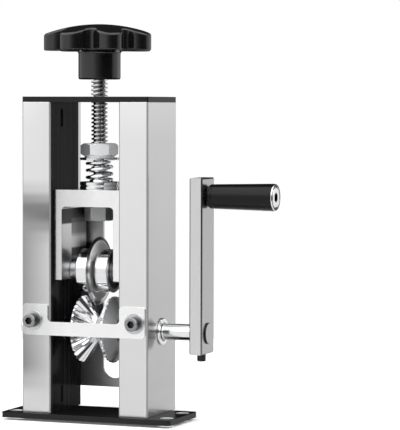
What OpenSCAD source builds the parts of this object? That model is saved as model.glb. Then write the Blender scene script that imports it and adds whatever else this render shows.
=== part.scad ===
// Hand crank wire stripper: two tubular columns between a base plate and a top plate carry a
// keyed shaft with a pair of toothed cone wheels. A screw with a star knob presses a sliding
// block down through a spring, and the block carries a round blade between two bearings.
// Millimetres. X runs along the drive shaft with the crank on the +X side, Y runs from the
// front (where the cable goes in) to the back, Z is up, and the origin is on the underside of
// the base plate, straight below the pressure screw.

/* [Columns] */
// Width of one column, seen from the front
column_w = 23; // [20:0.5:25]
// Distance that the columns reach past the feed wheels, in front and behind
column_reach = 3; // [2:0.1:8]
// Free height between the upper nut and the top plate
nut_room = 30.2; // [27:0.1:60]
// Wall thickness of the column tube
column_wall = 2.5; // [1.5:0.1:3.5]
// Radius of the column's long edges
column_edge_r = 1.5; // [0.8:0.1:2.4]
// Length of the slot near each end of a column's inner wall
end_slot_l = 14; // [6:0.5:16]
// Width of that slot
end_slot_w = 4.4; // [2:0.1:6]
// Distance of that slot in front of the middle of the column
end_slot_forward = 7.3; // [4:0.1:12]
// Distance of that slot from the end of the column
end_slot_inset = 4.5; // [2:0.5:8]
// Height of the tapped block inside each end of a column
end_block_h = 20; // [16:0.5:30]

/* [Plates] */
// Distance that the base plate stands out beside the columns
base_flange = 17; // [14.5:0.5:30]
// Distance that the base plate stands out in front of the columns
base_front = 6; // [0:0.5:20]
// Distance that the base plate stays short of the columns' backs
base_short = 6; // [0:0.5:8]
// Thickness of the base plate
base_t = 4; // [3:0.1:8]
// Sideways offset of the base plate towards the crank
base_offset_x = 2.5; // [-2:0.1:4]
// Corner radius of the base plate
base_corner_r = 3; // [1:0.5:8]
// Diameter of the base plate's mounting holes
base_hole_d = 9; // [5:0.1:11]
// Distance of the mounting holes from the base plate's left and right edges
base_hole_side = 7; // [6:0.1:8]
// Distance of the mounting holes from the base plate's front and back edges
base_hole_end = 12; // [8:0.5:18]
// Thickness of the top plate
top_t = 4; // [3:0.1:8]
// Diameter of the threaded bush in the top plate
bush_nut_d = 20; // [16:0.5:26]
// Distance of the plate screws from the columns' front and back
plate_screw_inset = 13.5; // [12:0.5:18]
// Thread diameter of the plate screws
plate_screw_d = 5; // [4:0.5:6]
// Length of the plate screws
plate_screw_l = 16; // [12:0.5:18]

/* [Drive shaft] */
// Height of the drive shaft above the underside of the base plate
shaft_z = 64.5; // [58:0.5:70]
// Diameter of the drive shaft
shaft_d = 12; // [10:0.5:13]
// Length of the drill end beside the left column
drill_end_l = 10; // [8:0.5:40]
// Height of the step from the shaft down to the drill end
drill_end_step = 1; // [0.5:0.1:2]
// Wall thickness of the shaft bushes
bush_wall = 2; // [1.5:0.1:3.5]
// Distance that the bush flange stands out round the bush
bush_rim = 2; // [1.5:0.1:3]
// Thickness of the bush flange
bush_flange_t = 1.5; // [1:0.1:3]
// Width of the recess round the shaft in the bush's outer end
bush_mouth_w = 1.1; // [0.5:0.1:1.4]
// Diameter of the head on the shaft's crank end
shaft_head_d = 15.4; // [14:0.1:18]
// Height of that head
shaft_head_t = 1.3; // [0.6:0.1:3]
// Wall thickness of the collars beside the feed wheels
collar_wall = 2; // [1.5:0.1:3.5]
// Length of the collars
collar_l = 8.1; // [7.5:0.1:14]
// Diameter of the cross pins through the collars
collar_pin_d = 3; // [2:0.1:4]

/* [Feed wheels] */
// Diameter of the feed wheels over the rim
wheel_d = 49; // [46:0.5:50]
// Width of one feed wheel
wheel_w = 12; // [10:0.5:14]
// Wall thickness of the wheel at the small end of the cone
wheel_hub_wall = 1.75; // [1.5:0.05:3]
// Width of the plain rim
wheel_land = 1.5; // [1:0.1:3]
// Diameter of the small end of the wheel's back cone
wheel_back_d = 24; // [20:0.5:40]
// Height of the back cone
wheel_back_w = 6.1; // [0.5:0.1:7]
// Gap between the small ends of the two wheels
wheel_gap = 1; // [0.4:0.1:3]
// Number of teeth on each cone
wheel_teeth = 32; // [16:1:36]
// Depth of the tooth gaps at the rim
tooth_depth = 2.3; // [1.5:0.1:3.4]
// Share of the tooth pitch left as a flat crest
tooth_crest = 0.12; // [0.05:0.01:0.4]
// Width and height of the square wheel keys
key_size = 4; // [3:0.1:4]
// Length of the wheel keys
key_l = 7; // [4:0.5:8]

/* [Crank] */
// Crank radius, from shaft axis to grip axis
crank_radius = 99.5; // [70:0.5:140]
// Distance from the right column to the crank arm
crank_standoff = 26; // [20:0.5:40]
// Thickness of the crank arm
arm_t = 10; // [8:0.5:14]
// Width of the crank arm
arm_w = 25; // [20:0.5:30]
// Length of the arm beyond the shaft axis
arm_tail = 15; // [12:0.5:20]
// Length of the arm beyond the grip axis
arm_head = 13.5; // [12:0.5:20]
// Chamfer on the arm's edges
arm_chamfer = 1; // [0.3:0.1:1.5]
// Thread diameter of the crank's set screw
set_screw_d = 6.4; // [5:0.1:8]
// Length of the set screw that stands out of the arm
set_screw_out = 5.5; // [1:0.5:8]
// Length of the grip
grip_l = 51.7; // [45:0.1:90]
// Diameter of the grip at the arm
grip_d_inner = 17.8; // [16:0.1:21]
// Diameter of the grip at its outer end
grip_d_outer = 19.8; // [19.8:0.1:24]
// Radius of the rounding at the grip's inner end
grip_round_r = 3.2; // [1:0.1:4]
// Diameter of the grip's spindle
spindle_d = 8; // [6:0.5:9]
// Wall of the grip round the spindle's head
grip_end_wall = 2.4; // [1.5:0.1:3]
// Depth of the spindle's head
spindle_head_l = 5; // [4:0.5:7]
// Thickness of the ring on the grip's outer end
grip_ring_t = 1.2; // [0.6:0.1:2]

/* [Blade and bearings] */
// Gap between the bearings and the rims of the feed wheels, at rest
nip_gap = 2.8; // [2.8:0.1:8]
// Diameter of the round blade
blade_d = 50; // [46:0.5:54]
// Thickness of the blade
blade_t = 2; // [1.6:0.1:3]
// Width of the ground bevel on the blade
blade_bevel = 4; // [2:0.5:6]
// Diameter of the blade's axle
axle_d = 12; // [10:0.5:12.5]
// Outer diameter of the bearings
bearing_d = 32; // [30:0.5:36]
// Width of the bearings
bearing_w = 10; // [8:0.5:11]
// Outer diameter of the bearings' inner rings
inner_ring_d = 18.3; // [17:0.1:19]
// Radial thickness of the bearings' outer rings
outer_ring_t = 2.9; // [2.2:0.1:3.1]
// Number of balls in a bearing
ball_count = 7; // [5:1:8]
// Thickness of the shims beside the blade
shim_t = 1.3; // [0.8:0.1:2.5]
// Outer diameter of the shims beside the blade
shim_d = 16; // [14:0.5:17]
// Outer diameter of the spacers between bearings and legs
spacer_d = 17; // [15:0.5:18]

/* [Slider] */
// Distance of the sliding block behind the columns' fronts
slider_inset = 5.5; // [3:0.5:10]
// Free height between the blade and the lower nut
blade_headroom = 12; // [4.5:0.1:24]
// Thickness of the block's legs
leg_t = 6; // [4.5:0.1:7]
// Thickness of the block's bridge
bridge_t = 12.3; // [8:0.1:14]
// Radius of the window's upper corners
window_r = 3; // [1.5:0.1:5]
// Length of the legs below the axle
leg_below_axle = 6; // [5.6:0.1:10]
// Thread diameter of the axle screws
axle_screw_d = 5; // [4:0.1:5]

/* [Pressure screw and spring] */
// Diameter of the pressure screw
screw_d = 12; // [10:0.5:13]
// Lead of the pressure screw's thread
screw_lead = 3; // [1.5:0.25:4]
// Height of the lower spring seat
seat_h = 5.6; // [4:0.1:7]
// Depth of the groove round that seat
seat_groove = 0.6; // [0.3:0.1:1]
// Distance that the spring seat and the upper washer stand out round the spring
seat_rim = 4.2; // [2:0.05:6]
// Height of the spring as fitted
spring_h = 16; // [15:0.1:24]
// Gap between the spring and the pressure screw
spring_room = 2; // [1.6:0.1:3]
// Diameter of the spring wire
spring_wire = 2.2; // [1.6:0.1:2.4]
// Number of turns of the spring
spring_turns = 3; // [2.5:0.25:4]
// Thickness of the upper washer
washer_t = 1.7; // [1:0.1:3]
// Width across flats of the upper nut
spring_nut_af = 24; // [20:0.5:27]
// Height of the upper nut
spring_nut_h = 10.5; // [8:0.1:13]
// Height of the round foot under the upper nut
nut_foot_h = 1.2; // [0.4:0.1:2]
// Width across flats of the lower nut
lock_nut_af = 19; // [17:0.5:22]
// Height of the lower nut
lock_nut_h = 10.5; // [6:0.1:11]
// Turn of the two nuts away from the knob's first lobe
nut_turn = 24; // [0:1:60]

/* [Knob] */
// Diameter over the knob's lobes
knob_d = 81.5; // [72:0.5:90]
// Number of lobes
knob_lobes = 7; // [5:1:8]
// Radius of a lobe's tip
lobe_r = 9.5; // [7:0.5:11]
// Depth of the hollows between the lobes
lobe_depth = 13.5; // [8:0.5:15]
// Height of the knob's rim
knob_rim_h = 12; // [8:0.5:16]
// Rise of the dome above the rim
knob_dome_h = 7.5; // [5:0.1:12]
// Diameter of the knob's hub
hub_d = 31; // [26:0.5:34]
// Length of the hub below the rim
hub_h = 21; // [15:0.5:30]
// Distance from the top plate to the hub
knob_gap = 12.7; // [6:0.1:20]
// Angle of the first lobe
knob_angle = 307; // [0:1:360]

/* [Cable guide and rear plate] */
// Thickness of the front guide
guide_t = 2; // [1.5:0.1:3]
// Height of the guide's bar
guide_bar_h = 10; // [8:0.5:14]
// Height of the guide's two ends
guide_end_h = 23; // [20:0.5:28]
// Height of the guide's lower edge below the shaft axis
guide_below_shaft = 3.1; // [1:0.1:8]
// Margin of the guide's ends to the column's long edges
guide_margin = 1.5; // [0.5:0.1:3]
// Corner radius of the guide's ends
guide_corner_r = 3; // [1.5:0.1:5]
// Thread diameter of the guide screws
guide_screw_d = 6; // [5:0.5:6]
// Distance of the guide screws from the outer faces of the columns
guide_screw_inset = 9.5; // [8.5:0.1:12]
// Diameter of the guide washers
guide_washer_d = 15; // [12:0.5:16]
// Thickness of the rear plate
rear_t = 2; // [1.5:0.1:3]
// Height of the rear plate's lower edge below the shaft axis
rear_below_shaft = 46; // [38:0.5:56]
// Height of the rear plate
rear_h = 145.5; // [140:0.5:150]
// Width of the cable slot in the rear plate
rear_slot_w = 17.4; // [14:0.2:24]
// Distance of the cable slot from the plate's lower and upper edges
rear_slot_end = 6.5; // [5:0.5:12]
// Thread diameter of the rear plate screws
rear_screw_d = 4; // [3:0.5:5]

/* [Clearances] */
// Radial clearance of a running fit
run_clear = 0.05; // [0.02:0.01:0.09]
// Gap between pieces that move past each other
move_gap = 0.3; // [0.2:0.05:0.5]
// Radial clearance of a loose screw hole
hole_clear = 0.3; // [0.1:0.05:0.5]
// Gap between the sliding block and each column
slide_gap = 0.5; // [0.3:0.1:1]

/* [Hidden] */
$fn = 64;

// Colours
black_paint = [0.07, 0.07, 0.08];
black_oxide = [0.11, 0.11, 0.12];
black_plastic = [0.05, 0.05, 0.055];
aluminium = [0.82, 0.83, 0.84];
steel = [0.72, 0.73, 0.75];
polished = [0.86, 0.87, 0.88];
brass = [0.78, 0.62, 0.3];

// Columns and plates
wheel_inner_x = wheel_gap / 2;
wheel_outer_x = wheel_inner_x + wheel_w;
collar_x = wheel_outer_x + wheel_back_w;
inner_wall_x = collar_x + collar_l + move_gap;
gap_w = 2 * inner_wall_x;
frame_w = gap_w + 2 * column_w;
column_x = frame_w / 2 - column_w / 2;
column_d = wheel_d + 2 * column_reach;
column_front = -column_d / 2;
column_back = column_d / 2;
plate_hole_r = plate_screw_d / 2 + hole_clear;
plate_head_r = plate_screw_d;
plate_screw_y = column_d / 2 - plate_screw_inset;
base_w = frame_w + 2 * base_flange;
base_d = column_d + base_front - base_short;
base_y = (base_short + base_front) / -2;
base_hole_x = base_w - 2 * base_hole_side;
base_hole_y = base_d - 2 * base_hole_end;
hole_chamfer = 0.6;

// Drive train, along X from the middle outwards
shaft_r = shaft_d / 2;
bush_d = shaft_d + 2 * bush_wall;
bush_flange_d = bush_d + 2 * bush_rim;
collar_d = shaft_d + 2 * collar_wall;
drill_end_d = shaft_d - 2 * drill_end_step;
bush_mouth_depth = 1.2;
outer_wall_x = frame_w / 2;
drill_end_x = outer_wall_x + bush_flange_t + 0.5;
collar_mid_x = collar_x + collar_l / 2;
arm_x = outer_wall_x + crank_standoff;
arm_end_x = arm_x + arm_t;
grip_z = shaft_z + crank_radius;
grip_x = arm_end_x + move_gap;
grip_end_x = grip_x + grip_l;
spindle_head_d = grip_d_outer - 2 * grip_end_wall;

// Cone of a feed wheel: its generator runs from the small end to the rim
wheel_r = wheel_d / 2;
wheel_small_r = shaft_r + wheel_hub_wall;
cone_w = wheel_w - wheel_land;
cone_angle = atan2(wheel_r - wheel_small_r, cone_w);
cone_apex = wheel_small_r / tan(cone_angle);
rim_from_apex = wheel_r / sin(cone_angle);
tooth_sink = atan2(tooth_depth, rim_from_apex);
tooth_half_w = PI * wheel_r / wheel_teeth * (1 - tooth_crest);
tooth_half_angle = atan2(tooth_half_w, tooth_depth);

// Blade axle and its stack, along X from the middle outwards
bearing_r = bearing_d / 2;
axle_r = axle_d / 2;
axle_z = shaft_z + wheel_r + nip_gap + bearing_r;
shim_x = blade_t / 2 + move_gap;
bearing_x = shim_x + shim_t;
bearing_end_x = bearing_x + bearing_w;
inner_ring_r = inner_ring_d / 2;
outer_ring_r = bearing_r - outer_ring_t;
ball_path_r = (inner_ring_r + outer_ring_r) / 2;
ball_r = (outer_ring_r - inner_ring_r) / 2 + 1.05;
ball_clear = 0.1;
shield_t = 0.5;
ring_chamfer = 0.6;

// Sliding block
slider_w = gap_w - 2 * slide_gap;
window_w = slider_w - 2 * leg_t;
slider_d = column_d - 2 * slider_inset;
slider_z0 = axle_z - leg_below_axle;
lock_nut_z = axle_z + blade_d / 2 + blade_headroom;
lock_nut_top = lock_nut_z + lock_nut_h;
window_top = lock_nut_top + move_gap;
slider_top = window_top + bridge_t;
slider_h = slider_top - slider_z0;
axle_head_r = axle_screw_d - 0.2;

// Spring stack, from the sliding block upwards
screw_r = screw_d / 2;
spring_d = screw_d + 2 * (spring_room + spring_wire);
seat_d = spring_d + 2 * seat_rim;
spring_z0 = slider_top + seat_h;
spring_z1 = spring_z0 + spring_h;
washer_top = spring_z1 + washer_t;
spring_nut_z = washer_top + move_gap / 3;
spring_nut_top = spring_nut_z + spring_nut_h;
column_top = spring_nut_top + nut_room;
column_h = column_top - base_t;
top_z = column_top + top_t;

// Knob
hub_z = top_z + knob_gap;
rim_z = hub_z + hub_h;
rim_top = rim_z + knob_rim_h;
knob_r = knob_d / 2;
lobe_pitch_r = knob_r - lobe_r;
hollow_floor_r = knob_r - lobe_depth;
lobe_step = 180 / knob_lobes;
hollow_pitch_r = (lobe_pitch_r ^ 2 - (hollow_floor_r - lobe_r) ^ 2)
    / (2 * (lobe_pitch_r * cos(lobe_step) - (hollow_floor_r - lobe_r)));
hollow_r = hollow_pitch_r - hollow_floor_r;
dome_r = (knob_r ^ 2 + knob_dome_h ^ 2) / (2 * knob_dome_h);
screw_top = rim_z + knob_rim_h / 3;
insert_r = screw_r + 4;

// Front guide and rear plate
guide_z0 = shaft_z - guide_below_shaft;
guide_back = column_front;
guide_front = guide_back - guide_t;
guide_end_w = column_w - 2 * guide_margin;
guide_screw_x = frame_w / 2 - guide_screw_inset;
guide_screw_z = guide_z0 + guide_end_h * 0.47;
guide_washer_t = 1.2;
guide_screw_l = guide_washer_t + guide_t + column_wall + 6;
rear_w = frame_w - column_w / 2;
rear_z0 = shaft_z - rear_below_shaft;
rear_z1 = rear_z0 + rear_h;
rear_slot_r = rear_slot_w / 2;
rear_screw_x = column_x;
rear_screw_inset = 12;

// Places its children mirrored on both sides of the middle
module both_sides() {
    children();
    mirror([1, 0, 0]) children();
}

// Turns a piece built along +Z so that it lies along +X
module along_x() {
    rotate([0, 90, 0]) children();
}

// Turns a piece built along +Z so that it points out of the front
module out_of_front() {
    rotate([90, 0, 0]) children();
}

// Turns a piece built along +Z so that it points out of the back
module out_of_back() {
    rotate([-90, 0, 0]) children();
}

// Rectangle with round corners
module rounded_rect(w, d, r) {
    square([w - 2 * r, d], center = true);
    square([w, d - 2 * r], center = true);
    for (x = [-1, 1], y = [-1, 1])
        translate([x * (w / 2 - r), y * (d / 2 - r)]) circle(r = r);
}

// Ring between two radii
module ring(outer_r, inner_r, h) {
    difference() {
        cylinder(r = outer_r, h = h);
        translate([0, 0, -1]) cylinder(r = inner_r, h = h + 2);
    }
}

// Ring with small chamfers on its outer edges
module chamfered_ring(outer_r, inner_r, h, c) {
    rotate_extrude()
        polygon([
            [inner_r, 0], [outer_r - c, 0], [outer_r, c], [outer_r, h - c], [outer_r - c, h],
            [inner_r, h]
        ]);
}

// Hexagonal nut with the corners turned off at both ends, on a round foot where foot is above 0
module hex_nut(af, h, bore_r, foot = 0) {
    corner_r = af / 2 / cos(30);
    turned = af * 0.06;
    difference() {
        union() {
            if (foot > 0) cylinder(r = af * 0.46, h = foot + 1);
            intersection() {
                translate([0, 0, foot]) cylinder(r = corner_r, h = h - foot, $fn = 6);
                rotate_extrude()
                    polygon([
                        [0, foot], [af / 2 * 0.97, foot], [corner_r, foot + turned],
                        [corner_r, h - turned], [af / 2 * 0.97, h], [0, h]
                    ]);
            }
        }
        translate([0, 0, -1]) cylinder(r = bore_r, h = h + 2);
    }
}

// Hexagonal socket, cut downwards from z = 0
module hex_socket(af, depth) {
    translate([0, 0, -depth]) cylinder(r = af / 2 / cos(30), h = depth + 1, $fn = 6);
}

// Socket head screw: the head stands on z = 0 and the shank runs down
module cap_screw(d, l) {
    head_r = d * 0.83;
    difference() {
        union() {
            chamfered_ring(head_r, 0, d, d * 0.09);
            translate([0, 0, -l]) cylinder(d = d, h = l + 0.01);
        }
        translate([0, 0, d]) hex_socket(d * 0.83, d * 0.5);
    }
}

// Countersunk screw: the head is flush with z = 0 and the shank runs down
module flush_screw(d, head_r, l) {
    difference() {
        union() {
            translate([0, 0, d / 2 - head_r]) cylinder(r1 = d / 2, r2 = head_r, h = head_r - d / 2);
            translate([0, 0, -l]) cylinder(d = d, h = l - head_r + d / 2 + 0.01);
        }
        hex_socket(d * 0.6, d * 0.35);
    }
}

// Room for a countersunk screw
module flush_screw_hole(d, head_r, l) {
    translate([0, 0, d / 2 - head_r]) cylinder(r1 = d / 2, r2 = head_r, h = head_r - d / 2);
    cylinder(r = head_r, h = 1);
    translate([0, 0, -l - 1]) cylinder(r = d / 2 + hole_clear, h = l + 1);
}

// Button head screw: the head stands on z = 0 and the shank runs down
module button_screw(d, l) {
    head_r = d * 0.95;
    head_h = d * 0.55;
    difference() {
        union() {
            rotate_extrude()
                polygon([[0, 0], [head_r, 0], [head_r * 0.86, head_h * 0.6], [head_r * 0.5, head_h],
                    [0, head_h]]);
            translate([0, 0, -l]) cylinder(d = d, h = l + 0.01);
        }
        translate([0, 0, head_h]) hex_socket(d * 0.62, head_h * 0.6);
    }
}

// Places of the plate screws, in the middle of each column
module at_plate_screws() {
    for (x = [-column_x, column_x], y = [-plate_screw_y, plate_screw_y])
        translate([x, y, 0]) children();
}

module base_plate() {
    color(black_paint)
    difference() {
        translate([base_offset_x, base_y, 0])
            linear_extrude(base_t) rounded_rect(base_w, base_d, base_corner_r);
        for (x = [-1, 1], y = [-1, 1])
            translate([
                base_offset_x + x * base_hole_x / 2,
                base_y + y * base_hole_y / 2,
                -1
            ])
                {
                    cylinder(d = base_hole_d, h = base_t + 2);
                    translate([0, 0, base_t + 1 - hole_chamfer])
                        cylinder(d1 = base_hole_d, d2 = base_hole_d + 2 * hole_chamfer + 0.2,
                            h = hole_chamfer + 0.1);
                }
        at_plate_screws()
            mirror([0, 0, 1]) flush_screw_hole(plate_screw_d, plate_head_r, base_t);
    }
}

module top_plate() {
    color(black_paint)
    difference() {
        translate([0, 0, column_top])
            linear_extrude(top_t) rounded_rect(frame_w, column_d, column_edge_r);
        translate([0, 0, column_top - 1]) cylinder(d = bush_nut_d, h = top_t + 2);
        translate([0, 0, top_z])
            at_plate_screws() flush_screw_hole(plate_screw_d, plate_head_r, top_t);
    }
}

module screw_bush() {
    color(brass)
    translate([0, 0, column_top]) ring(bush_nut_d / 2, screw_r + run_clear, top_t);
}

// Slot through the inner wall near one end of the column, at height z
module end_slot(z) {
    translate([-column_w / 2, -end_slot_forward, z + end_slot_l / 2])
        along_x() translate([0, 0, -1])
            linear_extrude(column_wall + 2) {
                square([end_slot_l - end_slot_w, end_slot_w], center = true);
                for (s = [-1, 1])
                    translate([s * (end_slot_l - end_slot_w) / 2, 0]) circle(d = end_slot_w);
            }
}

// The right column; the left one is its mirror image
module column() {
    color(aluminium)
    difference() {
        translate([column_x, 0, base_t])
            difference() {
                linear_extrude(column_h)
                    difference() {
                        rounded_rect(column_w, column_d, column_edge_r);
                        square([column_w - 2 * column_wall, column_d - 2 * column_wall],
                            center = true);
                    }
                end_slot(end_slot_inset);
                end_slot(column_h - end_slot_inset - end_slot_l);
            }
        translate([inner_wall_x - 1, 0, shaft_z]) along_x() cylinder(d = bush_d, h = column_w + 2);
        translate([guide_screw_x, column_front + column_wall + 1, guide_screw_z])
            out_of_front() cylinder(d = guide_screw_d, h = column_wall + 2);
        for (z = [rear_z0 + rear_screw_inset, rear_z1 - rear_screw_inset])
            translate([rear_screw_x, column_back - column_wall - 1, z])
                out_of_back() cylinder(d = rear_screw_d, h = column_wall + 2);
    }
}

module left_column() {
    mirror([1, 0, 0]) column();
}

module right_column() {
    column();
}

module end_blocks() {
    block_w = column_w - 2 * column_wall;
    block_d = column_d - 2 * column_wall;
    color(black_oxide)
    both_sides()
        for (z = [base_t, column_top - end_block_h])
            translate([column_x, 0, z])
                difference() {
                    translate([-block_w / 2, -block_d / 2, 0]) cube([block_w, block_d, end_block_h]);
                    for (y = [-plate_screw_y, plate_screw_y])
                        translate([0, y, -1]) cylinder(d = plate_screw_d, h = end_block_h + 2);
                }
}

module top_plate_screws() {
    color(black_oxide)
    translate([0, 0, top_z])
        at_plate_screws() flush_screw(plate_screw_d, plate_head_r, plate_screw_l);
}

module base_plate_screws() {
    color(black_oxide)
    at_plate_screws() mirror([0, 0, 1]) flush_screw(plate_screw_d, plate_head_r, plate_screw_l);
}

// Outline of the front guide, with x along the bar and y up: a bar with two rounded ends and
// a small fillet where each end meets the bar
module guide_outline() {
    end_x = column_x;
    inner_x = end_x - guide_end_w / 2;
    fillet = guide_corner_r;
    translate([0, guide_bar_h / 2]) square([2 * end_x, guide_bar_h], center = true);
    for (s = [-1, 1])
        translate([s * end_x, guide_end_h / 2])
            rounded_rect(guide_end_w, guide_end_h, guide_corner_r);
    for (s = [-1, 1])
        difference() {
            translate([s * (inner_x - fillet / 2), guide_bar_h + fillet / 2])
                square(fillet, center = true);
            translate([s * (inner_x - fillet), guide_bar_h + fillet]) circle(r = fillet);
        }
}

module front_guide() {
    color(aluminium)
    difference() {
        translate([0, guide_back, guide_z0])
            out_of_front() linear_extrude(guide_t) guide_outline();
        both_sides()
            translate([guide_screw_x, guide_back + 1, guide_screw_z])
                out_of_front() cylinder(r = guide_screw_d / 2 + hole_clear, h = guide_t + 2);
    }
}

module guide_screws() {
    color(black_oxide)
    both_sides()
        translate([guide_screw_x, guide_front - guide_washer_t, guide_screw_z])
            out_of_front() cap_screw(guide_screw_d, guide_screw_l);
}

module guide_washers() {
    color(polished)
    both_sides()
        translate([guide_screw_x, guide_front, guide_screw_z])
            out_of_front()
                ring(guide_washer_d / 2, guide_screw_d / 2 + hole_clear, guide_washer_t);
}

module rear_plate() {
    slot_z0 = rear_slot_end + rear_slot_r;
    slot_z1 = rear_h - rear_slot_end - rear_slot_r;
    color(steel)
    difference() {
        translate([0, column_back + rear_t, rear_z0])
            out_of_front()
                linear_extrude(rear_t)
                    difference() {
                        translate([0, rear_h / 2]) rounded_rect(rear_w, rear_h, guide_corner_r);
                        translate([-rear_slot_r, slot_z0]) square([rear_slot_w, slot_z1 - slot_z0]);
                        translate([0, slot_z0]) circle(r = rear_slot_r);
                        translate([0, slot_z1]) circle(r = rear_slot_r);
                    }
        for (x = [-rear_screw_x, rear_screw_x],
            z = [rear_z0 + rear_screw_inset, rear_z1 - rear_screw_inset])
            translate([x, column_back - 1, z])
                out_of_back() cylinder(r = rear_screw_d / 2 + hole_clear, h = rear_t + 2);
    }
}

module rear_plate_screws() {
    color(black_oxide)
    for (x = [-rear_screw_x, rear_screw_x],
        z = [rear_z0 + rear_screw_inset, rear_z1 - rear_screw_inset])
        translate([x, column_back + rear_t, z])
            out_of_back() button_screw(rear_screw_d, rear_t + column_wall + 4);
}

// Flanged bush through the right column
module shaft_bush() {
    color(polished)
    translate([inner_wall_x, 0, shaft_z])
        along_x()
            difference() {
                union() {
                    cylinder(d = bush_d, h = column_w);
                    translate([0, 0, column_w])
                        chamfered_ring(bush_flange_d / 2, 0, bush_flange_t, 0.5);
                }
                translate([0, 0, -1])
                    cylinder(r = shaft_r + run_clear, h = column_w + bush_flange_t + 2);
                translate([0, 0, column_w + bush_flange_t - bush_mouth_depth])
                    cylinder(r = shaft_r + bush_mouth_w, h = bush_mouth_depth + 1);
            }
}

module left_bush() {
    mirror([1, 0, 0]) shaft_bush();
}

module right_bush() {
    shaft_bush();
}

module drive_shaft() {
    key_floor = shaft_r - key_size / 2;
    drill_chamfer = 0.8;
    color(polished)
    translate([0, 0, shaft_z])
        difference() {
            union() {
                translate([-drill_end_x, 0, 0])
                    along_x() cylinder(r = shaft_r, h = drill_end_x + arm_end_x + 0.1);
                translate([arm_end_x, 0, 0])
                    along_x() chamfered_ring(shaft_head_d / 2, 0, shaft_head_t, 0.2);
                translate([-drill_end_x - drill_end_l, 0, 0])
                    along_x() {
                        cylinder(r1 = drill_end_d / 2 - drill_chamfer, r2 = drill_end_d / 2,
                            h = drill_chamfer);
                        translate([0, 0, drill_chamfer])
                            cylinder(d = drill_end_d, h = drill_end_l - drill_chamfer + 0.1);
                    }
            }
            both_sides() {
                translate([collar_x - key_l, -key_size / 2, key_floor])
                    cube([key_l, key_size, shaft_r]);
                translate([collar_mid_x, 0, -shaft_r - 1])
                    cylinder(d = collar_pin_d, h = 2 * shaft_r + 2);
            }
        }
}

// One tooth gap: a V whose floor and flanks all run to the apex of the cone
module tooth_gap() {
    gap_l = rim_from_apex + 4;
    gap_h = tooth_depth + 4;
    gap_half_w = gap_h * tan(tooth_half_angle);
    translate([-cone_apex, 0, 0])
        rotate([0, tooth_sink - cone_angle, 0])
            rotate([90, 0, 90])
                linear_extrude(gap_l) polygon([[0, 0], [gap_half_w, gap_h], [-gap_half_w, gap_h]]);
}

// The right feed wheel: a cone that opens towards the crank, cut into radial teeth, and a
// shallow plain cone at its back
module feed_wheel() {
    color(polished)
    translate([wheel_inner_x, 0, shaft_z])
        difference() {
            along_x()
                rotate_extrude()
                    polygon([
                        [0, 0], [wheel_small_r, 0], [wheel_r, cone_w], [wheel_r, wheel_w],
                        [wheel_back_d / 2, wheel_w + wheel_back_w], [0, wheel_w + wheel_back_w]
                    ]);
            for (i = [0:wheel_teeth - 1])
                rotate([i * 360 / wheel_teeth, 0, 0]) tooth_gap();
            translate([-1, 0, 0]) along_x() cylinder(r = shaft_r, h = wheel_w + wheel_back_w + 2);
            translate([wheel_w + wheel_back_w - key_l, -key_size / 2, 0])
                cube([key_l + 1, key_size, shaft_r + key_size / 2]);
        }
}

module left_feed_wheel() {
    mirror([1, 0, 0]) feed_wheel();
}

module right_feed_wheel() {
    feed_wheel();
}

module wheel_keys() {
    color(steel)
    both_sides()
        translate([collar_x - key_l, -key_size / 2, shaft_z + shaft_r - key_size / 2])
            cube([key_l, key_size, key_size]);
}

module collar() {
    color(black_oxide)
    translate([collar_x, 0, shaft_z])
        difference() {
            along_x() chamfered_ring(collar_d / 2, shaft_r, collar_l, 0.5);
            translate([collar_l / 2, 0, -collar_d]) cylinder(d = collar_pin_d, h = 2 * collar_d);
        }
}

module left_collar() {
    mirror([1, 0, 0]) collar();
}

module right_collar() {
    collar();
}

module collar_pins() {
    pin_l = 2 * sqrt((collar_d / 2) ^ 2 - (collar_pin_d / 2) ^ 2);
    color(steel)
    both_sides()
        translate([collar_mid_x, 0, shaft_z - pin_l / 2]) cylinder(d = collar_pin_d, h = pin_l);
}

module crank_arm() {
    arm_l = arm_tail + crank_radius + arm_head;
    c = arm_chamfer;
    color(aluminium)
    difference() {
        translate([arm_x + arm_t / 2, 0, shaft_z - arm_tail])
            intersection() {
                linear_extrude(arm_l)
                    polygon([
                        [-arm_t / 2 + c, -arm_w / 2], [arm_t / 2 - c, -arm_w / 2],
                        [arm_t / 2, -arm_w / 2 + c], [arm_t / 2, arm_w / 2 - c],
                        [arm_t / 2 - c, arm_w / 2], [-arm_t / 2 + c, arm_w / 2],
                        [-arm_t / 2, arm_w / 2 - c], [-arm_t / 2, -arm_w / 2 + c]
                    ]);
                translate([0, arm_w / 2 + 1, 0])
                    out_of_front()
                        linear_extrude(arm_w + 2)
                            polygon([
                                [-arm_t / 2 + c, 0], [arm_t / 2 - c, 0], [arm_t / 2, c],
                                [arm_t / 2, arm_l - c], [arm_t / 2 - c, arm_l],
                                [-arm_t / 2 + c, arm_l], [-arm_t / 2, arm_l - c],
                                [-arm_t / 2, c]
                            ]);
            }
        translate([arm_x - 1, 0, shaft_z]) along_x() cylinder(r = shaft_r, h = arm_t + 2);
        translate([arm_x - 1, 0, grip_z]) along_x() cylinder(d = spindle_d, h = arm_t + 2);
        translate([arm_x + arm_t / 2, 0, shaft_z - arm_tail - 1])
            cylinder(d = set_screw_d, h = arm_tail + 1);
    }
}

module crank_set_screw() {
    screw_z0 = shaft_z - arm_tail - set_screw_out;
    screw_l = shaft_z - shaft_r - screw_z0;
    color(black_oxide)
    translate([arm_x + arm_t / 2, 0, screw_z0])
        difference() {
            chamfered_ring(set_screw_d / 2, 0, screw_l, 0.5);
            mirror([0, 0, 1]) hex_socket(set_screw_d * 0.5, 4);
        }
}

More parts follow.
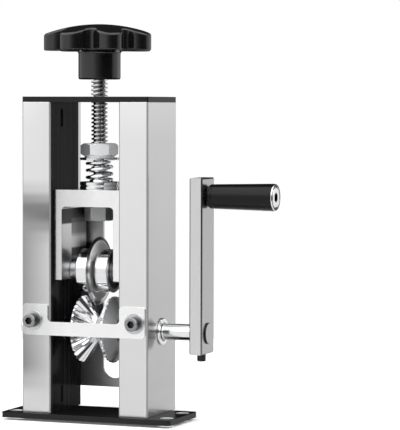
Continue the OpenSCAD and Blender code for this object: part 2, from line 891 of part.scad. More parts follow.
module grip_spindle() {
    head_x = grip_end_x - spindle_head_l;
    color(polished)
    difference() {
        union() {
            translate([arm_x, 0, grip_z]) along_x() cylinder(d = spindle_d, h = head_x - arm_x + 0.1);
            translate([head_x, 0, grip_z])
                along_x() chamfered_ring(spindle_head_d / 2, 0, spindle_head_l, 0.6);
        }
        translate([grip_end_x, 0, grip_z]) along_x() hex_socket(6.5, 3.5);
    }
}

// Bore of the grip: a running fit on the spindle and a wider seat for its head
module grip_bore() {
    seat_l = spindle_head_l + move_gap;
    translate([-1, 0, 0]) along_x() cylinder(r = spindle_d / 2 + run_clear, h = grip_l + 2);
    translate([grip_l - seat_l, 0, 0])
        along_x() cylinder(r = spindle_head_d / 2 + move_gap, h = seat_l + 1);
}

module grip() {
    body_l = grip_l - grip_ring_t;
    r0 = grip_d_inner / 2;
    r1 = grip_d_outer / 2;
    neck_r = r0 - 1.6;
    color(black_plastic)
    translate([grip_x, 0, grip_z])
        difference() {
            along_x()
                rotate_extrude()
                    difference() {
                        union() {
                            polygon([
                                [0, 0], [neck_r - grip_round_r / 2, 0], [r0, grip_round_r * 1.6],
                                [r1, body_l - 0.2], [r1 - 0.2, body_l], [0, body_l]
                            ]);
                            translate([r0 - grip_round_r, grip_round_r]) circle(r = grip_round_r);
                        }
                        translate([-grip_d_outer, -grip_d_outer])
                            square([grip_d_outer, 4 * grip_d_outer]);
                    }
            grip_bore();
        }
}

module grip_end_ring() {
    color(polished)
    translate([grip_x, 0, grip_z])
        difference() {
            translate([grip_l - grip_ring_t, 0, 0])
                along_x() chamfered_ring(grip_d_outer / 2 - 0.2, 0, grip_ring_t, 0.4);
            grip_bore();
        }
}

module upper_spring_washer() {
    color(polished)
    translate([0, 0, spring_z1])
        chamfered_ring(seat_d / 2, screw_r + hole_clear, washer_t, 0.3);
}

// Centre line of the spring: the first and last half turn lie flatter than the rest
spring_rings = 8;
spring_steps = spring_turns * spring_rings;
spring_path_r = spring_d / 2 - spring_wire / 2;
spring_flat_pitch = spring_wire + 0.8;
spring_rise = spring_h - spring_wire - 0.1;
spring_pitch = (spring_rise - spring_flat_pitch) / (spring_turns - 1);
function spring_height(turn) =
    turn < 0.5 ? turn * spring_flat_pitch
    : turn > spring_turns - 0.5 ? spring_rise - (spring_turns - turn) * spring_flat_pitch
    : 0.5 * spring_flat_pitch + (turn - 0.5) * spring_pitch;
function spring_point(turn) = [
    spring_path_r * cos(360 * turn), spring_path_r * sin(360 * turn),
    spring_z0 + spring_wire / 2 + 0.05 + spring_height(turn)
];
// One ring of the wire: six points round the centre line
function spring_ring(turn) = [
    for (k = [0:5])
        spring_point(turn) + spring_wire / 2 * [
            cos(360 * turn) * cos(60 * k), sin(360 * turn) * cos(60 * k), sin(60 * k)
        ]
];
spring_points = [for (i = [0:spring_steps]) each spring_ring(i / spring_rings)];
spring_side_faces = [
    for (i = [0:spring_steps - 1], k = [0:5])
        each [
            [6 * i + k, 6 * i + (k + 1) % 6, 6 * (i + 1) + k],
            [6 * i + (k + 1) % 6, 6 * (i + 1) + (k + 1) % 6, 6 * (i + 1) + k]
        ]
];
spring_end_faces = [
    for (k = [1:4])
        each [[0, k + 1, k], [6 * spring_steps, 6 * spring_steps + k, 6 * spring_steps + k + 1]]
];
// Least gap between points of the wire that lie at least three quarters of a turn apart
spring_self_gap = min([
    for (i = [0:spring_steps], j = [i + 6:1:spring_steps])
        norm(spring_point(i / spring_rings) - spring_point(j / spring_rings)) - spring_wire
]);
echo(spring_self_gap = spring_self_gap);

module spring() {
    color(polished)
    polyhedron(points = spring_points, faces = concat(spring_side_faces, spring_end_faces));
}

module pressure_screw() {
    screw_l = screw_top - lock_nut_z;
    color(polished)
    translate([0, 0, lock_nut_z]) chamfered_ring(screw_r, 0, screw_l, 0.8);
}

// Outline of the knob: arcs round the lobe tips and arcs in the hollows, which meet smoothly
knob_arc_steps = 8;
meet_angle = acos(
    (lobe_pitch_r ^ 2 + (lobe_r + hollow_r) ^ 2 - hollow_pitch_r ^ 2)
    / (2 * lobe_pitch_r * (lobe_r + hollow_r))
);
function lobe_arc(a, i) =
    let (turn = (180 - meet_angle) * (2 * i / knob_arc_steps - 1))
        lobe_pitch_r * [cos(a), sin(a)] + lobe_r * [cos(a + turn), sin(a + turn)];
hollow_half = 180 - meet_angle - lobe_step;
function hollow_arc(a, i) =
    let (turn = 180 + hollow_half * (1 - 2 * i / knob_arc_steps))
        hollow_pitch_r * [cos(a), sin(a)] + hollow_r * [cos(a + turn), sin(a + turn)];
module knob_outline() {
    polygon([
        for (k = [0:knob_lobes - 1])
            let (a = 2 * lobe_step * k)
                each concat(
                    [for (i = [0:knob_arc_steps]) lobe_arc(a, i)],
                    [for (i = [1:knob_arc_steps - 1]) hollow_arc(a + lobe_step, i)]
                )
    ]);
}

module star_knob() {
    color(black_plastic)
    difference() {
        union() {
            intersection() {
                translate([0, 0, rim_z])
                    rotate(knob_angle) linear_extrude(knob_rim_h + knob_dome_h) knob_outline();
                translate([0, 0, rim_top + knob_dome_h - dome_r]) sphere(r = dome_r);
            }
            translate([0, 0, hub_z]) cylinder(d = hub_d, h = hub_h + 1);
        }
        translate([0, 0, hub_z - 1]) cylinder(r = insert_r, h = screw_top - hub_z + 1);
    }
}

module knob_insert() {
    color(brass)
    translate([0, 0, hub_z]) ring(insert_r, screw_r, screw_top - hub_z);
}

module spring_nut() {
    color(polished)
    translate([0, 0, spring_nut_z])
        rotate(nut_turn) hex_nut(spring_nut_af, spring_nut_h, screw_r, nut_foot_h);
}

module lock_nut() {
    color(polished)
    translate([0, 0, lock_nut_z])
        rotate(nut_turn - 6) hex_nut(lock_nut_af, lock_nut_h, screw_r);
}

module slider_block() {
    window_h = window_top - slider_z0;
    color(polished)
    difference() {
        translate([0, slider_d / 2, slider_z0])
            out_of_front()
                linear_extrude(slider_d)
                    difference() {
                        translate([-slider_w / 2, 0]) square([slider_w, slider_h]);
                        translate([-window_w / 2, -1]) square([window_w, window_h + 1 - window_r]);
                        translate([-window_w / 2 + window_r, -1])
                            square([window_w - 2 * window_r, window_h + 1]);
                        for (s = [-1, 1])
                            translate([s * (window_w / 2 - window_r), window_h - window_r])
                                circle(r = window_r);
                    }
        translate([0, 0, window_top - 1]) cylinder(r = screw_r + hole_clear, h = bridge_t + 2);
        both_sides()
            translate([slider_w / 2, 0, axle_z])
                along_x() flush_screw_hole(axle_screw_d, axle_head_r, leg_t);
    }
}

// Grooved seat that keeps the foot of the spring round the screw
module lower_spring_seat() {
    seat_r = seat_d / 2;
    spigot_r = spring_d / 2 - spring_wire - 0.5;
    color(steel)
    translate([0, 0, slider_top])
        rotate_extrude()
            polygon([
                [screw_r + hole_clear, 0], [seat_r - 0.4, 0], [seat_r, 0.4],
                [seat_r, seat_h * 0.36], [seat_r - seat_groove, seat_h * 0.48],
                [seat_r, seat_h * 0.6], [seat_r, seat_h - 0.4], [seat_r - 0.4, seat_h],
                [spigot_r, seat_h], [spigot_r - 0.3, seat_h + 1.5],
                [screw_r + hole_clear, seat_h + 1.5]
            ]);
}

module blade_axle() {
    color(polished)
    translate([-window_w / 2, 0, axle_z])
        along_x()
            difference() {
                cylinder(r = axle_r, h = window_w);
                for (z = [-1, window_w - 11]) translate([0, 0, z]) cylinder(d = axle_screw_d, h = 12);
            }
}

module axle_screws() {
    color(steel)
    both_sides()
        translate([slider_w / 2, 0, axle_z])
            along_x() flush_screw(axle_screw_d, axle_head_r, leg_t + 10);
}

module axle_spacers() {
    color(steel)
    both_sides()
        translate([bearing_end_x, 0, axle_z])
            along_x() chamfered_ring(spacer_d / 2, axle_r, window_w / 2 - bearing_end_x, 0.4);
}

module blade_shims() {
    color(steel)
    both_sides()
        translate([shim_x, 0, axle_z]) along_x() ring(shim_d / 2, axle_r, shim_t);
}

// Groove that the balls of a bearing run in
module ball_groove() {
    translate([0, 0, bearing_w / 2])
        rotate_extrude() translate([ball_path_r, 0]) circle(r = ball_r + ball_clear);
}

module bearing_inner_rings() {
    color(steel)
    both_sides()
        translate([bearing_x, 0, axle_z])
            along_x()
                difference() {
                    ring(inner_ring_r, axle_r, bearing_w);
                    ball_groove();
                }
}

module bearing_balls() {
    color(polished)
    both_sides()
        translate([bearing_x + bearing_w / 2, 0, axle_z])
            for (i = [0:ball_count - 1])
                rotate([i * 360 / ball_count, 0, 0]) translate([0, 0, ball_path_r]) sphere(r = ball_r);
}

module bearing_ring() {
    color(polished)
    translate([bearing_x, 0, axle_z])
        along_x()
            difference() {
                chamfered_ring(bearing_r, outer_ring_r, bearing_w, ring_chamfer);
                ball_groove();
            }
}

module bearing_shields() {
    color(black_oxide)
    translate([bearing_x, 0, axle_z])
        along_x()
            for (z = [shield_t, bearing_w - 2 * shield_t])
                translate([0, 0, z]) ring(outer_ring_r, inner_ring_r + 0.25, shield_t);
}

module left_bearing_ring() {
    mirror([1, 0, 0]) bearing_ring();
}

module left_bearing_shields() {
    mirror([1, 0, 0]) bearing_shields();
}

module right_bearing_ring() {
    bearing_ring();
}

module right_bearing_shields() {
    bearing_shields();
}

module blade() {
    blade_r = blade_d / 2;
    edge_t = 0.2;
    color(steel)
    translate([0, 0, axle_z])
        along_x()
            rotate_extrude()
                polygon([
                    [axle_r + run_clear, -blade_t / 2], [blade_r - blade_bevel, -blade_t / 2],
                    [blade_r, -edge_t / 2], [blade_r, edge_t / 2],
                    [blade_r - blade_bevel, blade_t / 2], [axle_r + run_clear, blade_t / 2]
                ]);
}

base_plate();
top_plate();
screw_bush();
left_column();
right_column();
end_blocks();
top_plate_screws();
base_plate_screws();
front_guide();
guide_screws();
guide_washers();
rear_plate();
rear_plate_screws();
left_bush();
right_bush();
drive_shaft();
left_feed_wheel();
right_feed_wheel();
wheel_keys();
left_collar();
right_collar();
collar_pins();
crank_arm();
crank_set_screw();
grip_spindle();
grip();
grip_end_ring();
upper_spring_washer();
spring();
pressure_screw();
star_knob();
knob_insert();
spring_nut();
lock_nut();
slider_block();
lower_spring_seat();
blade_axle();
axle_screws();
axle_spacers();
blade_shims();
bearing_inner_rings();
bearing_balls();
left_bearing_ring();
left_bearing_shields();
right_bearing_ring();
right_bearing_shields();
blade();
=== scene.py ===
import math

import bpy
from mathutils import Matrix, Vector


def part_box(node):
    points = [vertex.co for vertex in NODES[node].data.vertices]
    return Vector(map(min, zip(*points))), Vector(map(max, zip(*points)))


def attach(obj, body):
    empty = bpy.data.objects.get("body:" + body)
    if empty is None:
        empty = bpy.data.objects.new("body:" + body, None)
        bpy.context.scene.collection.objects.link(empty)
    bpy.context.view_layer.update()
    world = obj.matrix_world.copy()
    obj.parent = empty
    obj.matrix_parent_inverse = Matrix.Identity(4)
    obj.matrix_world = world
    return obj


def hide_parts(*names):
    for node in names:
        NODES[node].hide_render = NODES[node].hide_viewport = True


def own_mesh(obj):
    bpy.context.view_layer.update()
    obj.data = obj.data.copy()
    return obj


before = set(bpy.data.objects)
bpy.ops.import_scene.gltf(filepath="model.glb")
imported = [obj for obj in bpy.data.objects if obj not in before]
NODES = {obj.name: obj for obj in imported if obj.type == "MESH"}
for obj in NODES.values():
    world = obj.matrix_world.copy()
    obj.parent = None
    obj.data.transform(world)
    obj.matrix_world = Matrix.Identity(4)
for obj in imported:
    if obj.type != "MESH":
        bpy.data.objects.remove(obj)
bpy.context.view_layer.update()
MM = 0.001

# ---------------------------------------------------------------- sizes, most from the frame
SCREW_LO, SCREW_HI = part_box("pressure_screw")
SCREW_R = (SCREW_HI.x - SCREW_LO.x) / 2
SCREW_LEAD = 3 * MM
KNOB_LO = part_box("star_knob")[0]
SPRING_LO, SPRING_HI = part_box("spring")
COLUMN_LO, COLUMN_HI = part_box("right_column")
REAR_PLATE_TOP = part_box("rear_plate")[1].z
SLIDER_LO, SLIDER_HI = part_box("slider_block")
BLADE_LO, BLADE_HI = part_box("blade")
BLADE_R = (BLADE_HI.z - BLADE_LO.z) / 2
AXLE_CENTRE = (0, 0, (BLADE_LO.z + BLADE_HI.z) / 2)
SHAFT_LO, SHAFT_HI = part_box("drive_shaft")
DRIVE_CENTRE = (0, 0, (SHAFT_LO.z + SHAFT_HI.z) / 2)
SPINDLE_LO, SPINDLE_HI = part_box("grip_spindle")
SPINDLE_Z = (SPINDLE_LO.z + SPINDLE_HI.z) / 2
GUIDE_HEAD_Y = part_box("guide_screws")[0].y
BASE_LO, BASE_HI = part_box("base_plate")
NEAR = 0.1 * MM
THREAD_DEPTH = 1.6 * MM
KNOB_HUB_H = 21 * MM


# ---------------------------------------------------------------- materials
class Tree:
    """Short calls for a node tree; a value may be a number, a colour or another node's output."""

    def __init__(self, owner):
        owner.use_nodes = True
        self.tree = owner.node_tree
        self.tree.nodes.clear()

    def add(self, kind, **props):
        node = self.tree.nodes.new(kind)
        for key, value in props.items():
            setattr(node, key, value)
        return node

    def link(self, a, b):
        self.tree.links.new(a, b)

    def ramp(self, fac, stops, interpolation="LINEAR"):
        """A grey or colour per place: stops are (place, grey level or colour), rising."""
        node = self.add("ShaderNodeValToRGB")
        ramp = node.color_ramp
        ramp.interpolation = interpolation
        ramp.elements[0].position, ramp.elements[1].position = stops[0][0], stops[-1][0]
        for at, _ in stops[1:-1]:
            ramp.elements.new(at)
        for element, (_, colour) in zip(ramp.elements, stops):
            element.color = (*colour, 1) if hasattr(colour, "__len__") else (colour,) * 3 + (1,)
        self.link(fac, node.inputs["Fac"])
        return node.outputs["Color"]

    def math(self, operation, a, b=None, c=None):
        node = self.add("ShaderNodeMath", operation=operation)
        for socket, value in zip(node.inputs, (a, b, c)):
            if value is None:
                continue
            if hasattr(value, "is_output"):
                self.link(value, socket)
            else:
                socket.default_value = value
        return node.outputs[0]

    def mix(self, fac, a, b, blend="MIX"):
        node = self.add("ShaderNodeMix", data_type="RGBA", blend_type=blend)
        for place, value in ((0, fac), (6, a), (7, b)):
            if hasattr(value, "is_output"):
                self.link(value, node.inputs[place])
            elif place == 0:
                node.inputs[0].default_value = value
            else:
                colour = value if hasattr(value, "__len__") else (value,) * 3
                node.inputs[place].default_value = (*colour, 1)
        return node.outputs[2]

    def times(self, a, b):
        return self.mix(1.0, a, b, "MULTIPLY")

    def split(self, vector):
        node = self.add("ShaderNodeSeparateXYZ")
        self.link(vector, node.inputs[0])
        return node.outputs


class Nodes(Tree):
    """One material: a principled shader and what drives its sockets."""

    def __init__(self, name):
        self.mat = bpy.data.materials.new(name)
        super().__init__(self.mat)
        self.out = self.add("ShaderNodeOutputMaterial")
        self.bsdf = self.add("ShaderNodeBsdfPrincipled")
        self.link(self.bsdf.outputs[0], self.out.inputs["Surface"])

    def set(self, **sockets):
        """Constants on the shader's own sockets."""
        for key, value in sockets.items():
            self.bsdf.inputs[key.replace("_", " ")].default_value = value

    def drive(self, socket, value):
        self.link(value, self.bsdf.inputs[socket])

    def coords(self, scale=(1, 1, 1)):
        source = self.add("ShaderNodeTexCoord")
        mapping = self.add("ShaderNodeMapping")
        mapping.inputs["Scale"].default_value = scale
        self.link(source.outputs["Object"], mapping.inputs["Vector"])
        return mapping.outputs["Vector"]

    def place(self):
        """X, Y and Z in metres, in the part's frame at rest; they move with the piece."""
        return self.split(self.coords())

    def noise(self, scale, detail=3.0, vector_scale=(1, 1, 1)):
        tex = self.add("ShaderNodeTexNoise")
        tex.inputs["Scale"].default_value = scale
        tex.inputs["Detail"].default_value = detail
        tex.inputs["Roughness"].default_value = 0.55
        self.link(self.coords(vector_scale), tex.inputs["Vector"])
        return tex.outputs["Fac"]

    def spread(self, fac, low, high, start=0.3, end=0.7):
        """Maps start..end to low..high, and holds both ends; noise fills about 0.3 to 0.7."""
        node = self.add("ShaderNodeMapRange")
        node.inputs["From Min"].default_value = start
        node.inputs["From Max"].default_value = end
        node.inputs["To Min"].default_value = low
        node.inputs["To Max"].default_value = high
        self.link(fac, node.inputs["Value"])
        return node.outputs["Result"]

    def relief(self, height, strength, distance, edge=0.0):
        """Bump from a height, over edges rounded by the bevel node where edge is above zero."""
        bump = self.add("ShaderNodeBump")
        bump.inputs["Strength"].default_value = strength
        bump.inputs["Distance"].default_value = distance
        self.link(height, bump.inputs["Height"])
        if edge:
            self.link(self.rounded(edge), bump.inputs["Normal"])
        self.drive("Normal", bump.outputs["Normal"])

    def rounded(self, edge):
        bevel = self.add("ShaderNodeBevel", samples=6)
        bevel.inputs["Radius"].default_value = edge
        return bevel.outputs["Normal"]


GRAIN_DEPTH = 0.02 * MM
TURNED_DEPTH = 0.01 * MM
PEEL_DEPTH = 0.05 * MM
SOFT_EDGE = 0.3 * MM


def metal(name, colour, rough, streak=(400, 400, 400), rough_spread=0.06, relief=0.15,
          edge=SOFT_EDGE, tone=0.05, metallic=1.0):
    """Metal with a fine grain: streak is the noise's scale along X, Y and Z, in 1/m, and tone
    the share by which the grain darkens the colour."""
    n = Nodes(name)
    fine = n.noise(1.0, detail=4, vector_scale=streak)
    broad = n.noise(1.0, detail=2, vector_scale=(34, 34, 22))
    dark = [c * (1 - tone) for c in colour]
    n.set(Metallic=metallic)
    n.drive("Base Color", n.mix(n.spread(fine, 0, 1), dark, colour))
    both = n.math("MULTIPLY_ADD", broad, 0.4, n.math("MULTIPLY", fine, 0.6))
    n.drive("Roughness", n.spread(both, rough - rough_spread / 2, rough + rough_spread / 2,
                                  0.35, 0.65))
    n.relief(fine, relief, GRAIN_DEPTH, edge)
    return n.mat


def column_metal(name, left_stops, right_stops, x0, x1, side_stops, shade_at=None):
    """Satin aluminium, grained along Z, with the painted shading and reflections of a tall
    polished tube: one ramp over the height for the left edge of the front, one for its right
    edge, one for the sides.
    The sides carry a painted shade round shade_at, a place (y, z) beside a flange, and the
    corners a painted shade line, darker and less metallic than the faces."""
    n = Nodes(name)
    fine = n.noise(1.0, detail=5, vector_scale=(900, 900, 14))
    x, y, z = n.place()
    # Painted shading and reflections: ramps over the height, blended across the front
    height = n.spread(z, 0, 1, COLUMN_LO.z, COLUMN_HI.z)
    across = n.spread(x, 0, 1, x0, x1)
    shade = n.mix(across, n.ramp(height, left_stops, "EASE"),
                  n.ramp(height, right_stops, "EASE"))
    geometry = n.add("ShaderNodeNewGeometry")
    sideways = n.math("ABSOLUTE", n.split(geometry.outputs["Normal"])["X"])
    side = n.ramp(height, side_stops, "EASE")
    if shade_at:
        # Painted shade on the side beside the flange
        reach_y, reach_z = 12 * MM, 13 * MM
        dy = n.math("DIVIDE", n.math("SUBTRACT", y, shade_at[0]), reach_y)
        dz = n.math("DIVIDE", n.math("SUBTRACT", z, shade_at[1]), reach_z)
        away = n.math("ADD", n.math("MULTIPLY", dy, dy), n.math("MULTIPLY", dz, dz))
        side = n.times(side, n.ramp(away, [(0.0, 0.26), (0.3, 0.38), (1.0, 1.0)], "EASE"))
    shade = n.mix(n.spread(sideways, 0, 1, 0.3, 0.9), shade, side)
    # Painted shade line along the corners: darker and less metallic
    corner = n.math("MULTIPLY", n.spread(sideways, 0, 1, 0.15, 0.4),
                    n.spread(sideways, 1, 0, 0.9, 0.985))
    shade = n.mix(corner, shade, 0.25)
    n.drive("Metallic", n.math("SUBTRACT", 1.0, corner))
    n.set(Specular_IOR_Level=0.1)
    n.drive("Base Color", n.times(shade, n.mix(n.spread(fine, 0, 1), 0.985, 1.0)))
    n.drive("Roughness", n.spread(fine, 0.19, 0.24))
    n.relief(fine, 0.05, GRAIN_DEPTH, 0.5 * MM)
    return n.mat


def toned_metal(n, shade, fine, rough, grain, relief, edge):
    """Finishes a metal whose tone, with its painted shade, is already made; grain is the tone of
    its darkest streaks.
    """
    n.drive("Base Color", n.times(shade, n.mix(n.spread(fine, 0, 1), grain, 1.0)))
    n.set(Metallic=1.0)
    n.drive("Roughness", n.spread(fine, rough - 0.03, rough + 0.03))
    n.relief(fine, relief, GRAIN_DEPTH, edge)
    return n.mat


def sided_metal(name, side_stops, rough, streak, relief=0.1, edge=0.2 * MM, along=None):
    """Metal with painted shade and light, one tone per side: stops over the share of a face's
    normal along X, and a second ramp of painted shade along X in metres where along gives (x0,
    x1, stops)."""
    n = Nodes(name)
    fine = n.noise(1.0, detail=4, vector_scale=streak)
    shade = n.ramp(n.math("ABSOLUTE", n.split(n.rounded(edge))["X"]), side_stops)
    if along:
        x0, x1, stops = along
        shade = n.times(shade, n.ramp(n.spread(n.place()["X"], 0, 1, x0, x1), stops, "EASE"))
    return toned_metal(n, shade, fine, rough, 0.95, relief, edge)


def shaded_metal(name, z_stops, z0, z1, rough, rear=None):
    """Metal with the painted shade of the pieces round it and painted highlights: one tone per
    height, as stops from z0 to z1, with stops of their own behind a depth where rear gives (y,
    stops)."""
    n = Nodes(name)
    fine = n.noise(1.0, detail=4, vector_scale=(900, 900, 20))
    _, y, z = n.place()
    height = n.spread(z, 0, 1, z0, z1)
    shade = n.ramp(height, z_stops)
    if rear:
        behind = n.spread(y, 0, 1, rear[0], rear[0] + 0.8 * MM)
        shade = n.mix(behind, shade, n.ramp(height, rear[1]))
    return toned_metal(n, shade, fine, rough, 0.94, 0.08, 0.2 * MM)


def inner_wall_metal(strip_from):
    """Inner face of a column, painted near black as shade and dark reflection, with fine upright
    streaks. Its rear edge is a lighter metallic strip, from a depth backwards and above the rear
    plate."""
    n = Nodes("inner_wall")
    streaks = n.noise(1.0, detail=3, vector_scale=(260, 260, 3))
    _, y, z = n.place()
    lighter_strip = n.math("MULTIPLY", n.math("GREATER_THAN", y, strip_from),
                  n.math("GREATER_THAN", z, REAR_PLATE_TOP))
    # Painted shade and dark reflection: the face near black
    dark = n.ramp(streaks, [(0.32, 0.003), (0.5, 0.008), (0.68, 0.03)])
    n.drive("Base Color", n.mix(lighter_strip, dark, (0.62, 0.625, 0.63)))
    n.drive("Metallic", lighter_strip)
    n.set(Roughness=0.12, Specular_IOR_Level=0.02)
    return n.mat


def paint(name, colour, rough, grain, relief, edge=SOFT_EDGE, specular=0.5):
    """Powder coat or moulded plastic with a fine orange-peel relief."""
    n = Nodes(name)
    peel = n.noise(grain, detail=3)
    n.set(IOR=1.5, Specular_IOR_Level=specular)
    lighter = [c * 1.25 + 0.002 for c in colour]
    n.drive("Base Color", n.mix(n.spread(peel, 0, 1), colour, lighter))
    n.drive("Roughness", n.spread(peel, rough - 0.04, rough + 0.04))
    n.relief(peel, relief, PEEL_DEPTH, edge)
    return n.mat


def turned_metal(name, colour, rough, axis, centre, edge=0.25 * MM, dark_beyond=None,
                 dark_within=None, metallic=1.0):
    """Metal with fine concentric rings about an axis through a point. dark_within is the radius
    of a thread's roots, painted dark as shade. dark_beyond is the radius of a blade's bevel,
    painted dark as shade on its upper part; the blade's face below that part is painted darker
    and more metallic."""
    n = Nodes(name)
    ring_pitch = 1 / 2600
    point = n.add("ShaderNodeVectorMath", operation="SUBTRACT")
    n.link(n.coords(), point.inputs[0])
    point.inputs[1].default_value = centre
    flat = n.add("ShaderNodeVectorMath", operation="MULTIPLY")
    n.link(point.outputs[0], flat.inputs[0])
    flat.inputs[1].default_value = [0.0 if k == axis else 1.0 for k in range(3)]
    length = n.add("ShaderNodeVectorMath", operation="LENGTH")
    n.link(flat.outputs[0], length.inputs[0])
    radius = length.outputs["Value"]
    wave = n.math("SINE", n.math("MULTIPLY", radius, math.tau / ring_pitch))
    line = n.math("MULTIPLY_ADD", wave, 0.2, n.noise(1500, detail=3))
    base = n.mix(n.spread(line, 0, 1), [c * 0.92 for c in colour], colour)
    n.set(Metallic=metallic, Specular_IOR_Level=0.2)
    if dark_beyond:
        # Painted shade: the bevel dark on its upper part, the face below it darker
        height = n.split(point.outputs[0])["Z"]
        low, high = 7 * MM, 13 * MM
        upper = n.spread(height, 0, 1, low, high)
        bevel = n.mix(upper, (0.4, 0.402, 0.41), (0.02, 0.02, 0.022))
        base = n.times(base, n.mix(upper, (0.85, 0.85, 0.85), (1, 1, 1)))
        base = n.mix(n.spread(radius, 0, 1, dark_beyond, dark_beyond + 0.3 * MM), base, bevel)
        n.drive("Metallic", n.spread(height, 0.85, metallic, low, high))
    if dark_within:
        # Painted shade in the thread's roots
        root = n.spread(radius, 1, 0, dark_within - 0.2 * MM, dark_within + 0.2 * MM)
        base = n.mix(root, base, (0.17, 0.17, 0.175))
    n.drive("Base Color", base)
    n.drive("Roughness", n.spread(line, rough - 0.03, rough + 0.04))
    n.relief(line, 0.1, TURNED_DEPTH, edge)
    return n.mat


BRIGHT = (0.86, 0.865, 0.87)
# Painted shade and reflection tones over the height of a column, from its foot (0) to its top (1)
PLAIN_STOPS = [(0.0, 0.69), (0.2, 0.715), (0.36, 0.745), (0.5, 0.772), (0.7, 0.8),
               (0.85, 0.812), (1.0, 0.885)]
SIDE_STOPS = [(0.0, 0.71), (0.05, 0.62), (0.1, 0.56), (0.16, 0.54), (0.36, 0.525),
              (0.5, 0.554), (0.7, 0.586), (0.85, 0.605), (1.0, 0.68)]
LEFT_EDGE = [(0.0, 0.72), (0.05, 0.7), (0.1, 0.5), (0.16, 0.265), (0.25, 0.315), (0.36, 0.325),
             (0.5, 0.335), (0.6, 0.35), (0.66, 0.243), (0.69, 0.38), (0.72, 0.65),
             (0.76, 0.8), (0.9, 0.825), (1.0, 0.9)]
INNER_EDGE = [(0.0, 0.73), (0.05, 0.69), (0.1, 0.635), (0.16, 0.614), (0.25, 0.64),
              (0.36, 0.645), (0.48, 0.675), (0.53, 0.664), (0.57, 0.58), (0.6, 0.376),
              (0.635, 0.21), (0.665, 0.25), (0.69, 0.45), (0.72, 0.68), (0.76, 0.785),
              (1.0, 0.795)]
# Place of the painted shade on the right column's side, beside the bush's flange
BUSH_SHADE = (-23 * MM, DRIVE_CENTRE[2])
# Width of the lighter metallic strip at the rear edge of the painted dark inner wall
STRIP_W = 5.2 * MM
left_alu = column_metal("left_column_alu", LEFT_EDGE, INNER_EDGE, -COLUMN_HI.x, -COLUMN_LO.x,
                        SIDE_STOPS)
right_alu = column_metal("right_column_alu", PLAIN_STOPS, PLAIN_STOPS, COLUMN_LO.x,
                         COLUMN_HI.x, SIDE_STOPS, shade_at=BUSH_SHADE)
inner_wall = inner_wall_metal(COLUMN_HI.y - STRIP_W)
# The right column's inner face, painted light where little light reaches, for the wheels' backs
# to reflect
light_wall = metal("light_wall", (0.6, 0.605, 0.61), 0.4, (900, 900, 14), metallic=0.5)

# Painted shade and highlight tones along X, or over a stretch of a piece's height, and by the
# side a face looks to
SLIDER_STOPS = [(0.0, 0.68), (0.25, 0.82), (0.7, 1.0), (1.0, 1.0)]
GUIDE_REACH = 50 * MM
GUIDE_STOPS = [(0.0, 0.55), (0.08, 0.7), (0.17, 0.86), (0.3, 0.95), (0.4, 1.0), (1.0, 1.0)]
LEG_Z = (118 * MM, 153 * MM)
LEG_STOPS = [(0.0, 0.6), (0.69, 0.75), (0.72, 0.03), (1.0, 0.02)]
LEG_REAR_Y = -5 * MM
LEG_REAR_STOPS = [(0.0, 0.15), (0.03, 0.03), (0.17, 0.04), (0.21, 0.6), (0.4, 0.64), (0.5, 0.24),
                  (0.7, 0.18), (0.73, 0.09), (0.8, 0.08), (0.82, 0.02), (1.0, 0.02)]
REAR_Z = (20 * MM, 154 * MM)
REAR_STOPS = [(0.0, 0.36), (0.73, 0.36), (0.75, 0.08), (0.79, 0.08), (0.815, 0.9), (0.87, 1.0),
              (0.9, 1.0), (0.945, 0.8), (0.955, 0.05), (1.0, 0.05)]
ARM_STOPS = [(0.0, 0.66), (0.35, 0.5), (0.55, 0.3), (0.78, 0.3), (0.95, 0.46), (1.0, 0.48)]
milled = sided_metal("milled_alu", [(0.0, 0.92), (1.0, 0.86)], 0.2, (240, 240, 240),
                     edge=SOFT_EDGE, along=(SLIDER_LO.x, SLIDER_HI.x, SLIDER_STOPS))
guide_alu = sided_metal("guide_alu", [(0.0, 0.93), (1.0, 0.8)], 0.25, (20, 900, 900),
                        along=(-GUIDE_REACH, GUIDE_REACH, GUIDE_STOPS))
arm_alu = sided_metal("arm_alu", ARM_STOPS, 0.25, (900, 900, 20), edge=0.1 * MM)
leg_inner = shaded_metal("leg_inner", LEG_STOPS, *LEG_Z, 0.3, rear=(LEG_REAR_Y, LEG_REAR_STOPS))
rear_steel = shaded_metal("rear_steel", REAR_STOPS, *REAR_Z, 0.34)
plain_steel = metal("plain_steel", (0.58, 0.585, 0.59), 0.3, (20, 900, 900), relief=0.08)
nut_steel = metal("nut_steel", (0.9, 0.905, 0.92), 0.24, rough_spread=0.03, relief=0.03,
                  tone=0.03, metallic=0.3)
nut_shade = metal("nut_shade", (0.34, 0.35, 0.37), 0.24, rough_spread=0.03, relief=0.03,
                  tone=0.03, metallic=0.5)
nut_light = metal("nut_light", (0.97, 0.97, 0.97), 0.3, rough_spread=0.03, relief=0.03,
                  tone=0.02, metallic=0.0)
lock_steel = metal("lock_steel", (0.5, 0.505, 0.51), 0.24, rough_spread=0.03, relief=0.03,
                   tone=0.03, metallic=0.7)
wheel_back = metal("wheel_back", (0.85, 0.855, 0.86), 0.08, rough_spread=0.03, relief=0.03,
                   edge=0.12 * MM, tone=0.03, metallic=0.85)
head_face = metal("head_face", (0.3, 0.305, 0.31), 0.3, rough_spread=0.04, relief=0.08,
                  edge=0.2 * MM)
hole_wall = metal("hole_wall", (0.45, 0.455, 0.46), 0.3, relief=0.05, metallic=0.5)
chrome = metal("chrome", BRIGHT, 0.09, rough_spread=0.03, relief=0.04, edge=0.25 * MM,
               tone=0.02)
wheel_steel = metal("wheel_steel", (0.83, 0.83, 0.84), 0.1, rough_spread=0.04, relief=0.05,
                    edge=0.12 * MM, tone=0.03)
zinc = metal("zinc", (0.6, 0.605, 0.62), 0.28, relief=0.1)
BEVEL_W = 2.6 * MM
ROOT_DEPTH = 1.35 * MM
race_steel = turned_metal("race_steel", BRIGHT, 0.12, 0, AXLE_CENTRE)
